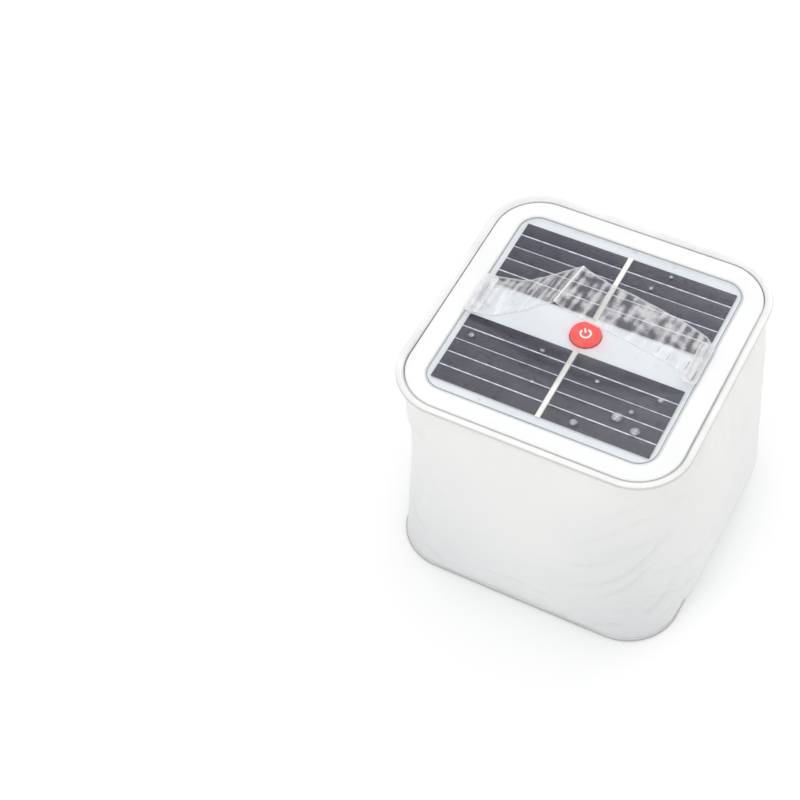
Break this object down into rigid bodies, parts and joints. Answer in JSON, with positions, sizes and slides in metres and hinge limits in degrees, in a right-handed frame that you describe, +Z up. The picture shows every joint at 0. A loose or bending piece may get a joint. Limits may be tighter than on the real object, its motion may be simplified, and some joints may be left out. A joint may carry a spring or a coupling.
{
  "type": "solar lantern",
  "caption": "Inflatable cube solar lantern: frosted air-filled walls, clear window over a framed solar panel with a centre button, strap, and a recessed air valve.",
  "frame": {"origin": "centre of the welded rim that the lantern stands on, at table level", "axes": "+Z up, out of the solar panel; +X along the strap; -Y towards the valve's half of the base"},
  "size_m": [0.1274, 0.1274, 0.137],
  "materials": {
    "clear_film": "glossy clear flexible film",
    "frosted_film": "frosted translucent flexible film, softly wrinkled",
    "weld": "clear welded bead, glossy",
    "bezel": "glossy white moulded plastic",
    "white_case": "satin white moulded plastic",
    "backsheet": "bluish white solder mask",
    "solar_cell": "dark navy silicon with light grid lines",
    "ribbon": "tinned ribbon",
    "laminate": "clear laminate",
    "button_red": "red silicone with a white power mark",
    "circuit_board": "green solder mask",
    "black_plastic": "black moulded plastic",
    "steel": "plated steel",
    "led_lens": "milky diffuser",
    "led": "yellow phosphor",
    "battery": "foil pouch",
    "foam": "black closed-cell foam",
    "wire_red": "red wire insulation",
    "wire_black": "black wire insulation"
  },
  "bodies": {
    "base": {"base_rim_weld": "weld", "valve_side_sheet": "frosted_film", "side_sleeve": "frosted_film", "valve_body": "clear_film", "base_strap_pad_left": "weld", "base_strap_pad_right": "weld", "base_strap_span_left": "frosted_film", "base_strap_span_right": "frosted_film"},
    "base_strap": {"base_strap_middle": "frosted_film"},
    "valve_stem": {"valve_stem": "clear_film", "valve_flap": "clear_film", "valve_tether": "clear_film"},
    "valve_cap": {"valve_cap": "clear_film"},
    "button": {"button_cap": "button_red", "switch_plunger": "black_plastic"},
    "panel_strap": {"strap_crest": "clear_film"},
    "head": {"panel_window_film": "clear_film", "strap_span_left": "clear_film", "strap_span_right": "clear_film", "panel_rim_weld": "weld", "strap_pad_left": "weld", "strap_pad_right": "weld", "bezel_frame": "bezel", "rear_case": "white_case", "solar_backsheet": "backsheet", "solar_cell_rear_left": "solar_cell", "solar_cell_rear_right": "solar_cell", "solar_cell_front_left": "solar_cell", "solar_cell_front_right": "solar_cell", "cell_ribbon_rear": "ribbon", "cell_ribbon_front": "ribbon", "panel_laminate": "laminate", "circuit_board": "circuit_board", "switch_body": "steel", "case_screw_1": "steel", "case_screw_2": "steel", "case_screw_3": "steel", "case_screw_4": "steel", "led_lens": "led_lens", "led_1": "led", "led_2": "led", "led_3": "led", "led_4": "led", "led_5": "led", "led_6": "led", "battery_pack": "battery", "case_gasket": "foam", "battery_pad": "foam", "battery_lead_red": "wire_red", "panel_lead_red": "wire_red", "battery_lead_black": "wire_black", "panel_lead_black": "wire_black"}
  },
  "joints": [
    {"name": "collapse", "type": "slide", "parent": "base", "child": "head", "axis": [0, 0, -1], "range_m": [0, 0.076], "deforming": ["side_sleeve"]},
    {"name": "button_press", "type": "slide", "parent": "head", "child": "button", "axis": [0, 0, -1], "range_m": [0, 0.0008], "stiffness_N_per_m": 1500},
    {"name": "strap_press", "type": "slide", "parent": "head", "child": "panel_strap", "axis": [0, 0, -1], "range_m": [0, 0.016], "stiffness_N_per_m": 20, "deforming": ["strap_span_left", "strap_span_right"]},
    {"name": "base_strap_pull", "type": "slide", "parent": "base", "child": "base_strap", "axis": [0, 0, -1], "range_m": [0, 0.024], "stiffness_N_per_m": 20, "deforming": ["base_strap_span_left", "base_strap_span_right"]},
    {"name": "valve_pull", "type": "slide", "parent": "base", "child": "valve_stem", "axis": [0, 0, -1], "range_m": [0, 0.0075]},
    {"name": "valve_cap_open", "type": "hinge", "parent": "valve_stem", "child": "valve_cap", "pos_m": [0.0096, -0.026, 0.0051], "axis": [0, -1, 0], "range_deg": [0, 110]}
  ]
}
